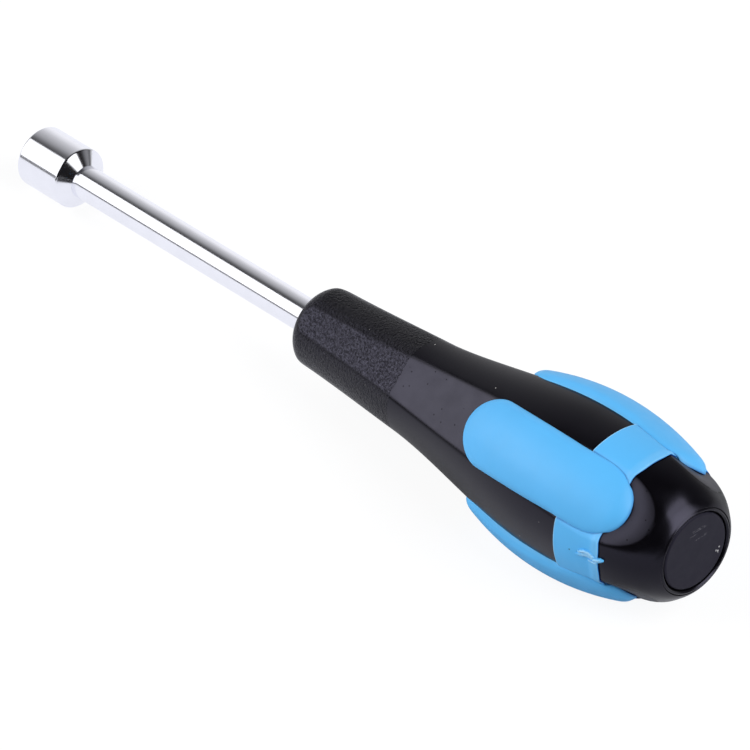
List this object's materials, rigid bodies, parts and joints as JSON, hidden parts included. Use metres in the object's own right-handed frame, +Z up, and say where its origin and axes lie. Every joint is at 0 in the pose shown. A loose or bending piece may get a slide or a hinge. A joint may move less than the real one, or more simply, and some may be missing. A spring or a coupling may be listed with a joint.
{
  "type": "nut driver",
  "caption": "Straight nut driver: a hexagon socket on a slim plated steel shaft, in a waisted two-material handle with soft grip pads and a rounded butt, for turning nuts by hand.",
  "frame": {"origin": "The centre of the socket's mouth, in the plane of the mouth", "axes": "+X runs along the tool's axis from the socket to the butt, +Z is up with the tool lying down, +Y is across it; the four pads sit on the diagonals between Y and Z"},
  "size_m": [0.1622, 0.0288, 0.0288],
  "materials": {
    "head_steel": "bright plated, polished",
    "shaft_steel": "bright plated, polished",
    "core_plastic": "as moulded, hidden",
    "body_plastic": "satin moulding, leather grain on the nose, glossier strips and butt",
    "grip_rubber": "soft-touch overmoulding, satin",
    "cap_plastic": "satin, lightly scratched"
  },
  "bodies": {
    "root": {"socket_head": "head_steel", "shaft": "shaft_steel", "handle_core": "core_plastic", "handle_body": "body_plastic", "grip_overmould": "grip_rubber", "end_cap": "cap_plastic"}
  },
  "joints": []
}
